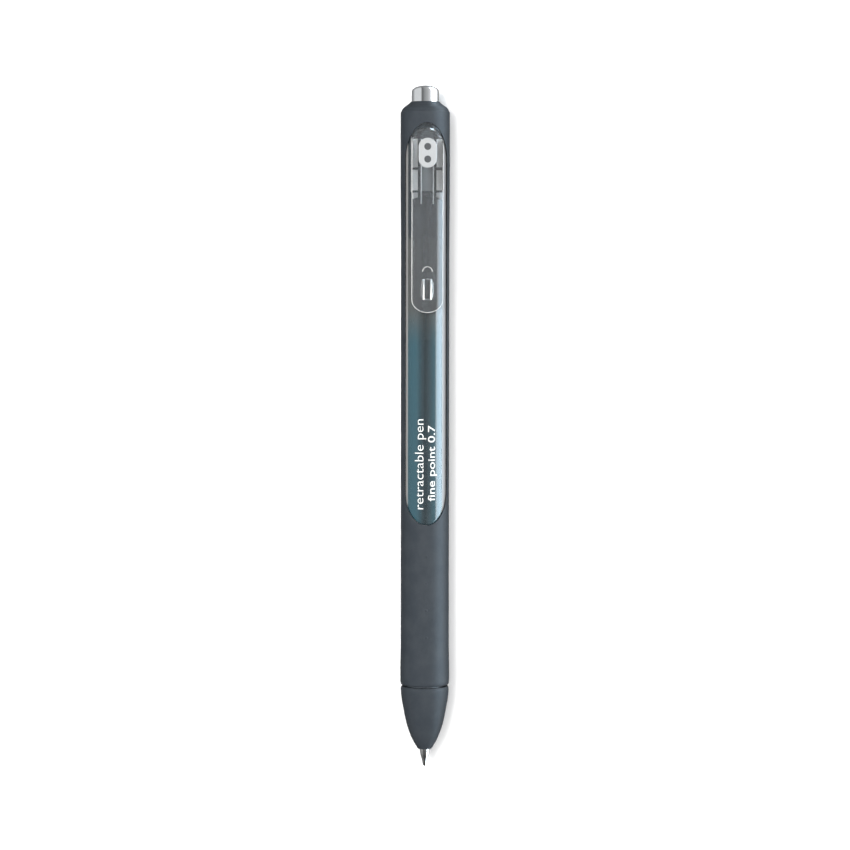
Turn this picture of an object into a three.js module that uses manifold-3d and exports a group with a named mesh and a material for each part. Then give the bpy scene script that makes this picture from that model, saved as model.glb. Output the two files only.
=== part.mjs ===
import * as THREE from 'three';
import { mergeVertices } from 'three/addons/utils/BufferGeometryUtils.js';
import Module from 'manifold-3d';

// A retractable gel pen, lying on its back with the clip up. Lengths are in millimetres.
// Every outline gives [radius, along], where along is the distance from the ball's end
// towards the push button. The pen's axis runs along Y, and the clip faces +Z.

const wasm = await Module();
wasm.setup();

// ---- driving dimensions ----

const penLength = 143;
const restRadius = 5.14; // the two stretches that the pen lies on
const waistRadius = 5.06; // the long stretch between them
const grooveRadius = 4.85; // bottom of the groove above the nose
const grooveAlong = 17.2;
const buttonRadius = 2.84;
const buttonJunction = 139.6; // where the button leaves the shoulder

const bodySides = 24;
const tipSides = 16;

const runningGap = 0.1;
const moulding = 0.02; // between two shots moulded on each other

const core = { radius: 4.4, land: 4.95, bore: 3.45, end: 17.7, thread: 3.95, threadEnd: 26 };
const shoulder = { floor: 136.9, top: 138.9, start: 135.5 };
const windowCut = { half: 4.2, top: 135.1, topArch: 7.8, bottom: 51.3, bottomArch: 6.9 };

const clip = {
  half: 3.25, top: 135, hinge: 120.7, end: 95.7, topArch: 3.4, endArch: 2.7,
  face: 7.4, tipFace: 7.0, foot: 4.6, thick: 1.3, slope: 1.45, gap: 0.1,
};
const bead = { width: 2.3, length: 4.3, middle: 100.5, low: 5.15 };
const badge = { width: 3.8, length: 6.2, middle: 128.7, depth: 0.3, proud: 0.05, gap: 0.05 };

const travel = 5; // from tip out to tip in
const indexTurn = 22.5; // degrees that the rotor turns over that travel
const guide = { count: 8, width: 0.35, inner: 3.03, low: 118.2 };
const fin = { count: 4, width: 0.6, reach: 3.38, low: 113.6, gap: 0.4 };
const rotor = { radius: 2.95, bore: 0.8, low: 111.6, sideTop: 118.6, top: 120.05 };
const plunger = { radius: 2.9, nose: 1.9, stem: 2.25, bore: 0.8, low: 120.3, top: 140.9 };
const key = { count: 4, width: 1.8, reach: 3.38, low: 125.6, top: 131.85 };
const button = { wall: 0.5, low: 127.6, sideTop: 141.7, roof: 0.9 };

const nose = { front: 3.7, hole: 1.2, top: 17.02, insertFront: 4.35 };
const spigot = { radius: 3.87, bore: 3.3, top: 25.6 };
const springSeat = { along: 9.5, radius: 2.6, top: 12 };

const refill = { radius: 3.05, bore: 2.7, low: 23.5, top: 108.5 };
const fill = { radius: 2.65, low: 28.1, inkTop: 90, followerTop: 97 };
const endPlug = { low: 104, head: 108.55, top: 111.45, vent: 0.5 };
const holder = { front: 11.5, nozzle: 1.9, shoulderLow: 23, plugTop: 28, bore: 1.15 };
const tip = { radius: 1.1, top: 14.5, rim: 0.2, channel: 0.5 };
const ball = { radius: 0.35 };
const spring = { radius: 2.25, wire: 0.2, low: 9.75, top: 22.78, turns: 10, stepsPerTurn: 12 };

// ---- helpers ----

function solidOf(geometry) {
  geometry.deleteAttribute('normal');
  geometry.deleteAttribute('uv');
  const merged = mergeVertices(geometry, 1e-4);
  const index = merged.index.array;
  const triangles = [];
  for (let i = 0; i < index.length; i += 3) {
    const [a, b, c] = [index[i], index[i + 1], index[i + 2]];
    if (a !== b && b !== c && c !== a) triangles.push(a, b, c);
  }
  return new wasm.Manifold(new wasm.Mesh({
    numProp: 3,
    vertProperties: Float32Array.from(merged.attributes.position.array),
    triVerts: Uint32Array.from(triangles),
  }));
}

function geometryOf(solid) {
  const mesh = solid.getMesh();
  const geometry = new THREE.BufferGeometry();
  geometry.setAttribute('position', new THREE.BufferAttribute(mesh.vertProperties, 3));
  geometry.setIndex(new THREE.BufferAttribute(mesh.triVerts, 1));
  geometry.computeVertexNormals();
  return geometry;
}

// A turned solid about Y. Its radii are to the middles of its flat sides, and one of those
// faces straight down. The outline runs upwards on the outside and downwards on the inside,
// and it is closed here if it leaves the axis.
function turned(outline, sides) {
  const corner = 1 / Math.cos(Math.PI / sides);
  const points = outline.map(([radius, along]) => new THREE.Vector2(radius * corner, along));
  if (outline[0][0] > 0) points.push(points[0].clone());
  return solidOf(new THREE.LatheGeometry(points, sides, Math.PI / sides, 2 * Math.PI));
}

function tube(inner, outer, low, high, sides) {
  return turned([[outer, low], [outer, high], [inner, high], [inner, low]], sides);
}

// An outline seen from the front, in x and along, given a depth in z. A lean slides each
// higher layer back along the pen.
function frontPrism(shape, low, high, lean = 0) {
  const geometry = new THREE.ExtrudeGeometry(shape, {
    depth: high - low, bevelEnabled: false, curveSegments: 10,
  });
  geometry.applyMatrix4(new THREE.Matrix4().set(
    1, 0, 0, 0,
    0, 1, -lean, 0,
    0, 0, 1, low,
    0, 0, 0, 1,
  ));
  return solidOf(geometry);
}

function polygon(points) {
  return new THREE.Shape(points.map(([x, y]) => new THREE.Vector2(x, y)));
}

// An outline seen from the side, in along and height, given a width across x.
function sidePrism(points, width) {
  const geometry = new THREE.ExtrudeGeometry(polygon(points), { depth: width, bevelEnabled: false });
  geometry.applyMatrix4(new THREE.Matrix4().makeBasis(
    new THREE.Vector3(0, 1, 0), new THREE.Vector3(0, 0, 1), new THREE.Vector3(1, 0, 0),
  ));
  geometry.translate(-width / 2, 0, 0);
  return solidOf(geometry);
}

// Straight sides with a half ellipse at each end.
function capsule(half, bottom, bottomArch, top, topArch) {
  const shape = new THREE.Shape();
  shape.moveTo(half, bottom + bottomArch);
  shape.lineTo(half, top - topArch);
  shape.absellipse(0, top - topArch, half, topArch, 0, Math.PI);
  shape.lineTo(-half, bottom + bottomArch);
  shape.absellipse(0, bottom + bottomArch, half, bottomArch, Math.PI, 2 * Math.PI);
  return shape;
}

function stadium(width, length, middle) {
  const half = width / 2;
  return capsule(half, middle - length / 2, half, middle + length / 2, half);
}

// Copies of a solid made at the front, turned to even steps about the axis.
function around(solid, count, firstDegrees) {
  let all = null;
  for (let i = 0; i < count; i += 1) {
    const copy = solid.rotate([0, firstDegrees + (360 / count) * i, 0]);
    all = all ? all.add(copy) : copy;
  }
  return all;
}

function noseCurve() {
  const points = [[1.87, 4.41], [3.14, 6.94], [4.14, 10.3], [4.77, 13.7], [5.05, 16.2]];
  return new THREE.SplineCurve(points.map(([radius, along]) => new THREE.Vector2(radius, along)));
}

// The height of the guide ribs' slanted ends, which is also the path of the rotor's fins.
function slant(x) {
  const rise = travel / (THREE.MathUtils.degToRad(indexTurn) * (guide.inner + fin.reach) / 2);
  return guide.low + rise * (x + guide.width / 2);
}

// The window's outline, drawn in by an inset and carried out past the barrel's front.
function windowPrism(inset) {
  const outline = capsule(windowCut.half - inset, windowCut.bottom + inset, windowCut.bottomArch,
    windowCut.top - inset, windowCut.topArch);
  return frontPrism(outline, 0, clip.face);
}

// ---- the barrel ----

function makeBarrelCore() {
  const body = turned([
    [core.radius, core.end], [core.radius, shoulder.start], [4.25, 137], [3.8, 138.1],
    [3.3, shoulder.top], [buttonRadius + runningGap, shoulder.top],
    [buttonRadius + runningGap, shoulder.floor], [core.bore, shoulder.floor],
    [core.bore, core.threadEnd], [core.thread, core.threadEnd], [core.thread, core.end],
  ], bodySides);
  const land = tube(core.bore + 0.4, core.land, core.threadEnd, shoulder.start, bodySides)
    .intersect(windowPrism(moulding + 0.03));
  const half = guide.width / 2;
  const rib = frontPrism(polygon([
    [-half, slant(-half)], [half, slant(half)],
    [half, shoulder.floor + 0.2], [-half, shoulder.floor + 0.2],
  ]), guide.inner, core.bore + 0.2);
  return body.add(land).add(around(rib, guide.count, indexTurn));
}

function makeGripWrap() {
  const inner = core.radius + moulding;
  const body = turned([
    [grooveRadius, core.end - 0.35], [restRadius, 18.25], [restRadius, 21.5], [waistRadius, 25],
    [waistRadius, 110], [restRadius, 122], [restRadius, 136], [5.0, 137.4], [4.62, 138.25],
    [3.94, 138.85], [3.0, buttonJunction], [buttonRadius + runningGap, buttonJunction],
    [buttonRadius + runningGap, shoulder.top + moulding], [3.3, shoulder.top + moulding],
    [3.8 + moulding, 138.1 + moulding], [4.25 + moulding, 137 + moulding],
    [inner, shoulder.start], [inner, core.end - 0.35],
  ], bodySides);
  return body.subtract(windowPrism(0));
}

// ---- the nose ----

function makeNoseSleeve() {
  const curve = noseCurve().getPoints(9).map((p) => [p.x, p.y]);
  return turned([
    [nose.hole, nose.front], ...curve, [grooveRadius, nose.top], [spigot.radius, nose.top],
    [spigot.radius, 14], [3.3, 9.2], [2.05, 5.6], [1.6, nose.insertFront - moulding],
    [nose.hole, nose.insertFront - moulding],
  ], bodySides);
}

function makeNoseInsert() {
  return turned([
    [tip.radius + 0.06, nose.insertFront], [1.58, nose.insertFront], [2.03, 5.6], [3.28, 9.2],
    [spigot.radius - moulding, 14], [spigot.radius - moulding, spigot.top],
    [spigot.bore, spigot.top], [spigot.bore, springSeat.top + 1.2],
    [springSeat.radius, springSeat.top], [springSeat.radius, springSeat.along],
    [tip.radius + 0.35, springSeat.along], [tip.radius + 0.06, 8.2],
  ], bodySides);
}

// ---- the clip ----

function makeClipRoot() {
  const lean = clip.slope / (clip.face - clip.foot);
  const outline = capsule(clip.half, clip.end, clip.endArch, clip.top, clip.topArch);
  const block = frontPrism(outline, clip.foot, clip.face, lean)
    .add(frontPrism(outline, core.bore, clip.foot + moulding));
  const side = sidePrism([
    [clip.hinge + clip.gap / 2, core.bore], [clip.top, core.bore], [clip.top, clip.face],
    [clip.hinge + clip.gap / 2, clip.face],
  ], 2 * clip.half + 1);
  const barrel = tube(0.5, core.land + 0.05, core.end, buttonJunction, bodySides);
  const overWrap = tube(core.land - 0.5, restRadius + 0.06, clip.hinge - 1, buttonJunction, bodySides)
    .subtract(windowPrism(moulding + 0.03));
  const pocket = frontPrism(
    stadium(badge.width + 2 * badge.gap, badge.length + 2 * badge.gap, badge.middle),
    clip.face - badge.depth, clip.face + 1,
  );
  return block.intersect(side).subtract(barrel).subtract(overWrap).subtract(pocket);
}

function makeClipArm() {
  const side = sidePrism([
    [clip.end, clip.tipFace - clip.thick], [clip.hinge - clip.gap / 2, clip.face - clip.thick],
    [clip.hinge - clip.gap / 2, clip.face], [clip.end, clip.tipFace],
  ], 2 * clip.half + 1);
  const foot = frontPrism(stadium(bead.width, bead.length, bead.middle), bead.low, clip.tipFace - 0.5);
  const outline = capsule(clip.half, clip.end, clip.endArch, clip.top, clip.topArch);
  return side.intersect(frontPrism(outline, 0, clip.face + 1)).add(foot);
}

function makeClipBadge() {
  return frontPrism(
    stadium(badge.width, badge.length, badge.middle),
    clip.face - badge.depth + badge.gap, clip.face + badge.proud,
  );
}

// ---- the click mechanism ----

function makePushButton() {
  const dome = [];
  const steps = 6;
  for (let i = 0; i <= steps; i += 1) {
    const angle = (Math.PI / 2) * (i / steps);
    dome.push([
      buttonRadius * Math.cos(angle),
      button.sideTop + (penLength - button.sideTop) * Math.sin(angle),
    ]);
  }
  dome[steps][0] = 0;
  const inner = buttonRadius - button.wall;
  return turned([
    [0, penLength - button.roof - 1], [inner, penLength - button.roof - 1], [inner, button.low],
    [buttonRadius, button.low], ...dome,
  ], bodySides);
}

// Rails that run in the barrel's slots, one in every second slot between the guide ribs.
function keys(inner, low, high) {
  const half = key.width / 2;
  const outline = polygon([[-half, low], [half, low], [half, high], [-half, high]]);
  const strip = frontPrism(outline, inner, key.reach);
  return around(strip, key.count, 0).intersect(tube(inner, key.reach, low, high, bodySides));
}

function makePlunger() {
  const shoulderTop = button.low - runningGap;
  const body = turned([
    [plunger.bore, plunger.low], [plunger.nose - 0.3, plunger.low], [plunger.nose, plunger.low + 0.7],
    [plunger.nose, key.low - 1.2], [plunger.radius, key.low + 0.6], [plunger.radius, shoulderTop],
    [plunger.stem, shoulderTop], [plunger.stem, plunger.top], [plunger.bore, plunger.top],
  ], bodySides);
  return body
    .add(keys(plunger.nose - 0.4, key.low, shoulderTop))
    .add(keys(buttonRadius + 0.05, key.low, key.top));
}

function makeCamRotor() {
  const body = turned([
    [rotor.bore, rotor.low], [rotor.radius, rotor.low], [rotor.radius, rotor.sideTop],
    [rotor.radius - 0.45, rotor.top - 0.55], [1.7, rotor.top], [rotor.bore, rotor.top],
  ], bodySides);
  const half = fin.width / 2;
  const ribSide = guide.width / 2;
  const blade = frontPrism(polygon([
    [-half, fin.low], [half, fin.low], [half, slant(ribSide) - fin.gap],
    [ribSide, slant(ribSide) - fin.gap], [-half, slant(-half) - fin.gap],
  ]), 2.7, fin.reach);
  return body.add(around(blade, fin.count, indexTurn));
}

class Helix extends THREE.Curve {
  constructor(radius, low, high, turns) {
    super();
    Object.assign(this, { radius, low, high, turns });
  }

  getPoint(u, target = new THREE.Vector3()) {
    const angle = 2 * Math.PI * this.turns * u;
    return target.set(
      this.radius * Math.cos(angle), this.low + (this.high - this.low) * u, this.radius * Math.sin(angle),
    );
  }
}

function makeReturnSpring() {
  const wireSides = 6;
  const section = polygon(Array.from({ length: wireSides }, (_, i) => {
    const angle = (2 * Math.PI * i) / wireSides;
    return [spring.wire * Math.cos(angle), spring.wire * Math.sin(angle)];
  }));
  return solidOf(new THREE.ExtrudeGeometry(section, {
    steps: spring.turns * spring.stepsPerTurn, bevelEnabled: false,
    extrudePath: new Helix(spring.radius, spring.low, spring.top, spring.turns),
  }));
}

// ---- the refill ----

function makeRefillTube() {
  return tube(refill.bore, refill.radius, refill.low, refill.top, bodySides);
}

function makeEndPlug() {
  return turned([
    [endPlug.vent, endPlug.low], [fill.radius, endPlug.low], [fill.radius, endPlug.head],
    [refill.radius - 0.05, endPlug.head], [refill.radius - 0.05, endPlug.top], [endPlug.vent, endPlug.top],
  ], bodySides);
}

function makeInkColumn() {
  return turned([
    [0, fill.low], [fill.radius, fill.low], [fill.radius, fill.inkTop], [0, fill.inkTop],
  ], bodySides);
}

function makeFollower() {
  const low = fill.inkTop + 0.05;
  return turned([
    [0, low], [fill.radius, low], [fill.radius, fill.followerTop], [0, fill.followerTop],
  ], bodySides);
}

function makeTipHolder() {
  return turned([
    [holder.bore, holder.front], [holder.nozzle - 0.3, holder.front], [holder.nozzle, holder.front + 0.5],
    [holder.nozzle, holder.shoulderLow], [refill.radius, holder.shoulderLow],
    [refill.radius, refill.low - 0.05], [fill.radius, refill.low - 0.05], [fill.radius, holder.plugTop],
    [holder.bore, holder.plugTop],
  ], bodySides);
}

function makeMetalTip() {
  return turned([
    [0.345, tip.rim], [0.4, tip.rim], [0.52, 0.9], [0.64, 1.5], [0.9, 2.4], [tip.radius, 3.6],
    [tip.radius, tip.top], [tip.channel, tip.top], [tip.channel, 2.4], [0.15, 1.6], [0.15, 0.85],
    [0.3, 0.62], [0.395, 0.35],
  ], tipSides);
}

function makeTipBall() {
  const geometry = new THREE.SphereGeometry(ball.radius, 12, 8);
  geometry.translate(0, ball.radius, 0);
  return solidOf(geometry);
}

// ---- assembly ----

const finishes = {
  clearPlastic: { color: 0xb9c2c6, roughness: 0.08, metalness: 0 },
  softRubber: { color: 0x4b5056, roughness: 0.75, metalness: 0 },
  slatePlastic: { color: 0x525b62, roughness: 0.45, metalness: 0 },
  badgeSilver: { color: 0xd8dadb, roughness: 0.35, metalness: 0.4 },
  chromePlate: { color: 0xe2e5e8, roughness: 0.06, metalness: 1 },
  springSteel: { color: 0xa8abad, roughness: 0.25, metalness: 1 },
  nickelSilver: { color: 0xc9ccce, roughness: 0.15, metalness: 1 },
  tungsten: { color: 0x34363a, roughness: 0.2, metalness: 1 },
  refillPlastic: { color: 0xc5cdd1, roughness: 0.15, metalness: 0 },
  gelInk: { color: 0x22343c, roughness: 0.2, metalness: 0 },
  followerGrease: { color: 0xaab6bb, roughness: 0.1, metalness: 0 },
};

const pen = new THREE.Group();
pen.position.set(0, -penLength / 2, restRadius);

function addPart(name, solid, finish) {
  const mesh = new THREE.Mesh(geometryOf(solid), new THREE.MeshStandardMaterial(finishes[finish]));
  mesh.name = name;
  pen.add(mesh);
}

addPart('barrel_core', makeBarrelCore(), 'clearPlastic');
addPart('grip_wrap', makeGripWrap(), 'softRubber');
addPart('nose_sleeve', makeNoseSleeve(), 'softRubber');
addPart('nose_insert', makeNoseInsert(), 'slatePlastic');
addPart('clip_root', makeClipRoot(), 'clearPlastic');
addPart('clip_arm', makeClipArm(), 'clearPlastic');
addPart('clip_badge', makeClipBadge(), 'badgeSilver');
addPart('push_button', makePushButton(), 'chromePlate');
addPart('plunger', makePlunger(), 'slatePlastic');
addPart('cam_rotor', makeCamRotor(), 'slatePlastic');
addPart('return_spring', makeReturnSpring(), 'springSteel');
addPart('refill_tube', makeRefillTube(), 'refillPlastic');
addPart('refill_end_plug', makeEndPlug(), 'refillPlastic');
addPart('ink_column', makeInkColumn(), 'gelInk');
addPart('follower_grease', makeFollower(), 'followerGrease');
addPart('tip_holder', makeTipHolder(), 'refillPlastic');
addPart('metal_tip', makeMetalTip(), 'nickelSilver');
addPart('tip_ball', makeTipBall(), 'tungsten');

const model = new THREE.Group();
model.add(pen);

export default model;
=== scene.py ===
import math

import bmesh
import bpy
from mathutils import Matrix, Vector


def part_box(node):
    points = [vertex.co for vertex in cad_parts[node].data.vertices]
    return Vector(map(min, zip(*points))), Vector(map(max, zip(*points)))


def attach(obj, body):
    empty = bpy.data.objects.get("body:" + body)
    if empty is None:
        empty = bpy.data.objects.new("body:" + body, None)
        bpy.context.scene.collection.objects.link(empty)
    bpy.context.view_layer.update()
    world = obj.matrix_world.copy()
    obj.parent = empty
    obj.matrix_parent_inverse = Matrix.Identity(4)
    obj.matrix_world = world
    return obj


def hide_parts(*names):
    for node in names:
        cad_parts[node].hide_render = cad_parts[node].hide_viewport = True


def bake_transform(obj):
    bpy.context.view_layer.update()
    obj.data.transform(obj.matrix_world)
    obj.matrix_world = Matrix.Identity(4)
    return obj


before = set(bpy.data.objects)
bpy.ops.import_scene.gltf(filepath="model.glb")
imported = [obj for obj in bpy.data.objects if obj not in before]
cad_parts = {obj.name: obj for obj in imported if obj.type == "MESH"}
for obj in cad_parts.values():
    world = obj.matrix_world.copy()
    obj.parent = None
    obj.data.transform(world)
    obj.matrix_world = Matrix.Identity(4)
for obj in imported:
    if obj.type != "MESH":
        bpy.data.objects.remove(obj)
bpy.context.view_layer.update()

# Everything is shaped in millimetres about the pen's axis: x across, y along the pen from
# the ball's end, z up from the axis. finishMesh() then puts it where the frame has it, and
# framePoint() does the same for one point.
mm = 0.001
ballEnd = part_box("tip_ball")[0].y / mm
axisHeight = (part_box("refill_tube")[0].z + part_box("refill_tube")[1].z) / 2 / mm


def span(node):
    # where a CAD node begins and ends along the pen
    low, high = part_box(node)
    return low.y / mm - ballEnd, high.y / mm - ballEnd


class Wire:
    # a shader socket, and sums on it add Math nodes
    def __init__(self, shader, socket):
        self.shader = shader
        self.socket = socket

    def math(self, operation, first, second=0.0):
        return self.shader.node("ShaderNodeMath", {"operation": operation}, {0: first, 1: second})

    def __add__(self, other):
        return self.math("ADD", self, other)

    def __sub__(self, other):
        return self.math("SUBTRACT", self, other)

    def __rsub__(self, other):
        return self.math("SUBTRACT", other, self)

    def __mul__(self, other):
        return self.math("MULTIPLY", self, other)

    def size(self):
        return self.math("ABSOLUTE", self)

    def smooth(self, low, high, toLow=0.0, toHigh=1.0):
        return self.shader.node(
            "ShaderNodeMapRange", {"interpolation_type": "SMOOTHSTEP"},
            {"Value": self, "From Min": low, "From Max": high, "To Min": toLow, "To Max": toHigh})

    __radd__ = __add__
    __rmul__ = __mul__


class Shader:
    # a node tree, and what is common to all the materials
    def __init__(self, tree):
        self.tree = tree
        tree.nodes.clear()

    def node(self, kind, settings=None, inputs=None, output=0):
        made = self.tree.nodes.new(kind)
        for name, value in (settings or {}).items():
            if name == "ramp":
                self.setRamp(made.color_ramp, value)
            else:
                setattr(made, name, value)
        for name, value in (inputs or {}).items():
            if isinstance(value, Wire):
                self.tree.links.new(value.socket, made.inputs[name])
            else:
                made.inputs[name].default_value = value
        return Wire(self, made.outputs[output]) if made.outputs else made

    def setRamp(self, ramp, stops):
        while len(ramp.elements) < len(stops):
            ramp.elements.new(0.5)
        for element, (position, value) in zip(ramp.elements, stops):
            element.position = position
            element.color = (value, value, value, 1)

    def place(self):
        # the point on the piece, in millimetres in the frame
        coordinates = self.node("ShaderNodeTexCoord", output="Object")
        return self.node("ShaderNodeVectorMath", {"operation": "SCALE"}, {0: coordinates, "Scale": 1 / mm})

    def axes(self):
        split = self.node("ShaderNodeSeparateXYZ", None, {0: self.place()})
        outputs = split.socket.node.outputs
        return [Wire(self, outputs[i]) for i in range(3)]

    def noise(self, perMillimetre, detail=3.0, roughness=0.55, stretch=(1, 1, 1)):
        spread = self.node("ShaderNodeMapping", None, {"Vector": self.place(), "Scale": stretch})
        return self.node("ShaderNodeTexNoise", None, {
            "Vector": spread, "Scale": perMillimetre, "Detail": detail, "Roughness": roughness})

    def mixColour(self, factor, first, second):
        return self.node("ShaderNodeMix", {"data_type": "RGBA"}, {0: factor, 6: first, 7: second}, output=2)

    def bump(self, height, depth, strength=1.0):
        return self.node("ShaderNodeBump", None, {
            "Height": height, "Distance": depth * mm, "Strength": strength})

    def surface(self, shade):
        self.node("ShaderNodeOutputMaterial", None, {"Surface": shade})


def grey(value):
    return (value, value, value, 1)


def darker(colour, share):
    return tuple(share * c for c in colour[:3]) + (1,)


def newShader(name):
    material = bpy.data.materials.new(name)
    material.use_nodes = True
    return material, Shader(material.node_tree)


def principled(shader, inputs):
    return shader.node("ShaderNodeBsdfPrincipled", None, inputs)


def mixSurfaces(shader, mask, first, second):
    return shader.node("ShaderNodeMixShader", None, {0: mask, 1: first, 2: second})


def softRubber():
    look = {"dark": (0.030, 0.036, 0.043, 1), "light": (0.037, 0.043, 0.050, 1),
            "grainPerMm": 5.5, "grainDepth": 0.02, "roughness": (0.42, 0.56)}
    material, shader = newShader("softRubber")
    cloud = shader.noise(0.35, detail=4)
    grain = shader.noise(look["grainPerMm"], detail=2)
    colour = shader.mixColour(cloud.smooth(0.3, 0.7), look["dark"], look["light"])
    shader.surface(principled(shader, {
        "Base Color": colour,
        "Roughness": grain.smooth(0.3, 0.7, *look["roughness"]),
        "Specular IOR Level": 0.12,
        "Normal": shader.bump(grain, look["grainDepth"]),
    }))
    return material


def clearShade(shader, tint, clearness=1.0, roughness=0.03, ior=1.5):
    marks = shader.noise(0.8, detail=5, stretch=(1, 0.15, 1))
    return principled(shader, {
        "Base Color": tint,
        "Transmission Weight": clearness,
        "IOR": ior,
        "Roughness": marks.smooth(0.4, 0.75, roughness, roughness + 0.05),
    })


def tubeClear():
    material, shader = newShader("tubePlastic")
    shader.surface(clearShade(shader, (0.93, 0.96, 0.97, 1), roughness=0.08, ior=1.35))
    return material


def paintedHighlightShade(shader, colour, roughness=0.3):
    # a pale diffuse surface that paints the highlight where light gathers at an edge of clear plastic
    cloud = shader.noise(1.5)
    return principled(shader, {
        "Base Color": shader.mixColour(cloud, colour, darker(colour, 0.9)),
        "Roughness": cloud.smooth(0.2, 0.8, roughness, roughness + 0.1),
    })


def paintedLightLining():
    # painted light: a pale sheet for the light carried in the clear core's walls
    look = {"first": (0.56, 0.56, 0.555, 1), "second": (0.64, 0.64, 0.635, 1)}
    material, shader = newShader("paintedLightLining")
    cloud = shader.noise(0.5)
    shader.surface(principled(shader, {
        "Base Color": shader.mixColour(cloud, look["first"], look["second"]),
        "Roughness": cloud.smooth(0.2, 0.8, 0.4, 0.55),
    }))
    return material


def slatePlastic():
    look = {"dark": (0.070, 0.085, 0.098, 1), "light": (0.085, 0.102, 0.116, 1)}
    material, shader = newShader("slatePlastic")
    flow = shader.noise(0.6, detail=4, stretch=(1, 0.4, 1))
    grain = shader.noise(9, detail=2)
    shader.surface(principled(shader, {
        "Base Color": shader.mixColour(flow, look["dark"], look["light"]),
        "Roughness": flow.smooth(0.2, 0.8, 0.32, 0.45),
        "Normal": shader.bump(grain, 0.004),
    }))
    return material


def metal(name, colour, roughness, ringsPerMm=0.0, ringDepth=0.002):
    material, shader = newShader(name)
    wear = shader.noise(1.3, detail=5)
    inputs = {
        "Base Color": shader.mixColour(wear, colour, darker(colour, 0.93)),
        "Metallic": 1.0,
        "Roughness": wear.smooth(0.35, 0.7, roughness, roughness + 0.05),
    }
    if ringsPerMm:
        along = shader.axes()[1]
        wave = along.math("SINE", along * (2 * math.pi * ringsPerMm))
        inputs["Normal"] = shader.bump(wave, ringDepth)
    shader.surface(principled(shader, inputs))
    return material


def badgeSilver():
    look = {"first": (0.35, 0.36, 0.365, 1), "second": (0.40, 0.41, 0.415, 1)}
    material, shader = newShader("badgeSilver")
    flake = shader.noise(11, detail=2)
    shader.surface(principled(shader, {
        "Base Color": shader.mixColour(flake.smooth(0.35, 0.65), look["first"], look["second"]),
        "Metallic": 0.25,
        "Roughness": flake.smooth(0.3, 0.7, 0.34, 0.46),
    }))
    return material


def painted(name, colour, roughness):
    material, shader = newShader(name)
    film = shader.noise(4, detail=3)
    shader.surface(principled(shader, {
        "Base Color": shader.mixColour(film, colour, darker(colour, 0.94)),
        "Roughness": film.smooth(0.3, 0.7, roughness, roughness + 0.08),
    }))
    return material


def gelInk():
    # painted light: the ink is a lighter teal on its left side, where light falls on it, and its plain colour
    # elsewhere
    look = {"leftLit": (0.080, 0.230, 0.280, 1), "thick": (0.075, 0.120, 0.132, 1),
            "leftLitFrom": -0.5, "leftLitTo": -1.6, "waver": 0.4}
    material, shader = newShader("gelInk")
    swirl = shader.noise(0.5, detail=3, stretch=(1, 0.2, 1))
    side = shader.axes()[0] + swirl * look["waver"] - look["waver"] / 2
    leftLitShare = side.smooth(look["leftLitTo"], look["leftLitFrom"], 1, 0)
    shader.surface(principled(shader, {
        "Base Color": shader.mixColour(leftLitShare, look["thick"], look["leftLit"]),
        "Roughness": swirl.smooth(0.2, 0.8, 0.3, 0.4),
        "Specular IOR Level": 0.05,
    }))
    return material


def followerGrease():
    look = {"first": (0.20, 0.25, 0.28, 1), "second": (0.26, 0.31, 0.34, 1)}
    material, shader = newShader("followerGrease")
    swirl = shader.noise(0.7, detail=3)
    shader.surface(principled(shader, {
        "Base Color": shader.mixColour(swirl, look["first"], look["second"]),
        "Roughness": swirl.smooth(0.2, 0.8, 0.25, 0.38),
        "Specular IOR Level": 0.05,
    }))
    return material


rubber = softRubber()
tubePlastic = tubeClear()
# painted light: the pale sheet seen along the window's edges
paintedLining = paintedLightLining()
slate = slatePlastic()
chrome = metal("chromePlate", (0.90, 0.915, 0.925, 1), 0.035)
nickel = metal("nickelSilver", (0.60, 0.60, 0.59, 1), 0.10, ringsPerMm=9)
steel = metal("springSteel", (0.56, 0.57, 0.58, 1), 0.22)
tungsten = metal("tungsten", (0.10, 0.10, 0.11, 1), 0.15)
silver = badgeSilver()
whitePrint = painted("whitePrint", (0.74, 0.74, 0.72, 1), 0.4)
badgeInk = painted("badgeInk", (0.05, 0.053, 0.056, 1), 0.4)
# painted highlights: a white for the bright lines in the clip
highlightWhite = painted("paintedHighlightWhite", (0.86, 0.85, 0.82, 1), 0.3)
# painted light: the pale panels in the clip's root
rootLightPaint = painted("paintedRootLight", (0.80, 0.765, 0.73, 1), 0.35)
stemGrey = painted("stemGrey", (0.20, 0.205, 0.205, 1), 0.35)
ink = gelInk()
grease = followerGrease()
print("materials made")


def rounded(corners, closed=True, steps=4):
    # corners are (radius, along, fillet), and a fillet of 0 stays sharp
    points = []
    for i, (radius, along, fillet) in enumerate(corners):
        corner = Vector((radius, along))
        if fillet == 0 or (not closed and i in (0, len(corners) - 1)):
            points.append(corner)
            continue
        before = Vector(corners[i - 1][:2]) - corner
        after = Vector(corners[(i + 1) % len(corners)][:2]) - corner
        first = corner + before.normalized() * min(fillet, before.length / 2)
        last = corner + after.normalized() * min(fillet, after.length / 2)
        for k in range(steps + 1):
            s = k / steps
            points.append(first * (1 - s) ** 2 + corner * (2 * s * (1 - s)) + last * s ** 2)
    return points


def splined(points, steps=6):
    # a smooth curve through a few points
    knots = [Vector(p) for p in points]
    knots = [knots[0] * 2 - knots[1]] + knots + [knots[-1] * 2 - knots[-2]]
    curve = []
    for before, first, last, after in zip(knots, knots[1:], knots[2:], knots[3:]):
        for k in range(steps):
            s = k / steps
            curve.append(0.5 * (first * 2 + (last - before) * s
                                + (before * 2 - first * 5 + last * 4 - after) * s ** 2
                                + (first * 3 - before - last * 3 + after) * s ** 3))
    curve.append(knots[-2])
    return curve


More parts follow.
